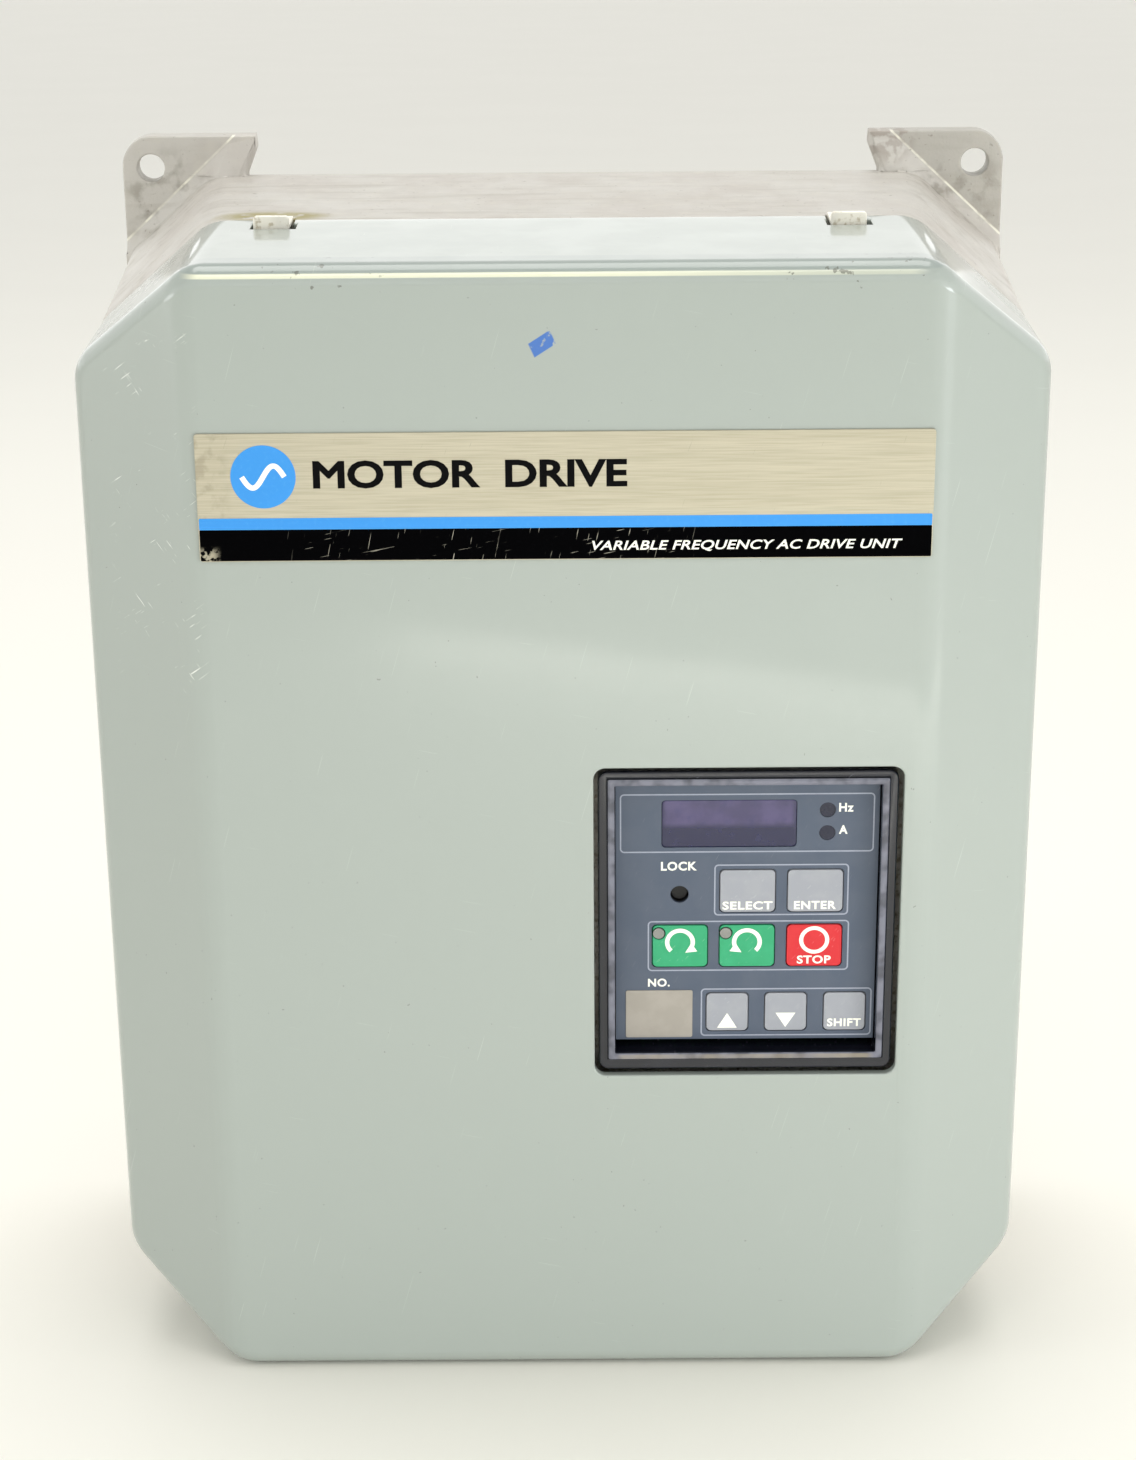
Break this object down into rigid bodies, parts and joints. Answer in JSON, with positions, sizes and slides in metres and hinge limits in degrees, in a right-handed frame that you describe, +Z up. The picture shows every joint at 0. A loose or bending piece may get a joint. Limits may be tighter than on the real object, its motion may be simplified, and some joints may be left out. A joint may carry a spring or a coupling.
{
  "type": "variable frequency drive",
  "caption": "Wall-mounted variable frequency drive: cast finned housing, hook-hung domed cover, keypad with display behind a window, cooling fan.",
  "frame": {"origin": "centre of the four wall-screw holes, on the wall plane", "axes": "+X to the right seen from the front, -Y out of the front, +Z up the wall"},
  "size_m": [0.28, 0.1488, 0.376],
  "materials": {
    "cast_metal": "as-cast, matt, slightly stained",
    "sink_metal": "extruded, satin",
    "cover_paint": "semi-gloss grey-green paint, lightly scuffed",
    "plate_metal": "brushed, printed with a blue line and a black band",
    "zinc_steel": "zinc plated",
    "fasteners": "zinc plated",
    "seal": "closed-cell foam",
    "black_plastic": "moulded",
    "green_plastic": "moulded",
    "bezel_gloss": "glossy black moulding",
    "panel_face": "satin printed film",
    "display_lens": "smoked lens",
    "display_case": "digit block",
    "unit_lamp": "unlit lamp",
    "run_lamp": "unlit lamp",
    "label_plate": "blank label",
    "key_grey": "satin",
    "key_green": "satin",
    "key_red": "satin",
    "lock_black": "satin",
    "board": "solder-masked laminate",
    "module_case": "moulded",
    "can_sleeve": "shrink sleeve",
    "copper": "tinned copper, bare",
    "nylon": "moulded",
    "components": "moulded",
    "film_red": "dipped"
  },
  "bodies": {
    "housing": {"chassis": "cast_metal", "heat_sink": "sink_metal", "cover_hooks": "zinc_steel", "panel_bracket": "zinc_steel", "capacitor_plate": "zinc_steel", "bracket_pillars": "zinc_steel", "fan_guard": "zinc_steel", "hook_screws": "fasteners", "fan_screws": "fasteners", "bracket_screws": "fasteners", "module_screws": "fasteners", "board_screws": "fasteners", "bus_bar_screws": "fasteners", "power_terminals_screws": "fasteners", "control_terminals_screws": "fasteners", "earth_stud": "fasteners", "fan_frame": "black_plastic", "panel_back_plate": "black_plastic", "key_frame": "black_plastic", "conduit_plug": "black_plastic", "power_terminals": "black_plastic", "board_link": "black_plastic", "key_switches": "black_plastic", "control_terminals": "green_plastic", "panel_bezel": "bezel_gloss", "panel_overlay": "panel_face", "display_window": "display_lens", "display_module": "display_case", "unit_lamps": "unit_lamp", "run_lamps": "run_lamp", "number_label": "label_plate", "power_board": "board", "control_board": "board", "keypad_board": "board", "inverter_module": "module_case", "rectifier_module": "module_case", "bus_capacitors": "can_sleeve", "bus_bar_positive": "copper", "bus_bar_negative": "copper", "board_standoffs": "nylon", "capacitor_posts": "nylon", "control_spacers": "nylon", "supply_transformer": "components", "relays": "components", "control_chips": "components", "snubber_capacitors": "film_red"},
    "cover": {"front_cover": "cover_paint", "nameplate": "plate_metal", "cover_gasket": "seal", "cover_clamp_screws": "fasteners"},
    "fan_rotor": {"fan_rotor": "black_plastic"},
    "select_key": {"select_key": "key_grey"},
    "enter_key": {"enter_key": "key_grey"},
    "forward_key": {"forward_key": "key_green"},
    "reverse_key": {"reverse_key": "key_green"},
    "stop_key": {"stop_key": "key_red"},
    "up_key": {"up_key": "key_grey"},
    "down_key": {"down_key": "key_grey"},
    "shift_key": {"shift_key": "key_grey"},
    "lock_plunger": {"lock_plunger": "lock_black"}
  },
  "joints": [
    {"name": "cover_hinge", "type": "hinge", "parent": "housing", "child": "cover", "pos_m": [0, -0.081, 0.1768], "axis": [-1, 0, 0], "range_deg": [0, 80]},
    {"name": "fan_spin", "type": "hinge", "parent": "housing", "child": "fan_rotor", "pos_m": [0, -0.0375, -0.158], "axis": [0, 0, 1], "continuous": true},
    {"name": "select_key_press", "type": "slide", "parent": "housing", "child": "select_key", "axis": [0, 1, 0], "range_m": [0, 0.0005], "stiffness_N_per_m": 3000},
    {"name": "enter_key_press", "type": "slide", "parent": "housing", "child": "enter_key", "axis": [0, 1, 0], "range_m": [0, 0.0005], "stiffness_N_per_m": 3000},
    {"name": "forward_key_press", "type": "slide", "parent": "housing", "child": "forward_key", "axis": [0, 1, 0], "range_m": [0, 0.0005], "stiffness_N_per_m": 3000},
    {"name": "reverse_key_press", "type": "slide", "parent": "housing", "child": "reverse_key", "axis": [0, 1, 0], "range_m": [0, 0.0005], "stiffness_N_per_m": 3000},
    {"name": "stop_key_press", "type": "slide", "parent": "housing", "child": "stop_key", "axis": [0, 1, 0], "range_m": [0, 0.0005], "stiffness_N_per_m": 3000},
    {"name": "up_key_press", "type": "slide", "parent": "housing", "child": "up_key", "axis": [0, 1, 0], "range_m": [0, 0.0005], "stiffness_N_per_m": 3000},
    {"name": "down_key_press", "type": "slide", "parent": "housing", "child": "down_key", "axis": [0, 1, 0], "range_m": [0, 0.0005], "stiffness_N_per_m": 3000},
    {"name": "shift_key_press", "type": "slide", "parent": "housing", "child": "shift_key", "axis": [0, 1, 0], "range_m": [0, 0.0005], "stiffness_N_per_m": 3000},
    {"name": "lock_press", "type": "slide", "parent": "housing", "child": "lock_plunger", "axis": [0, 1, 0], "range_m": [0, 0.001], "stiffness_N_per_m": 1500}
  ]
}
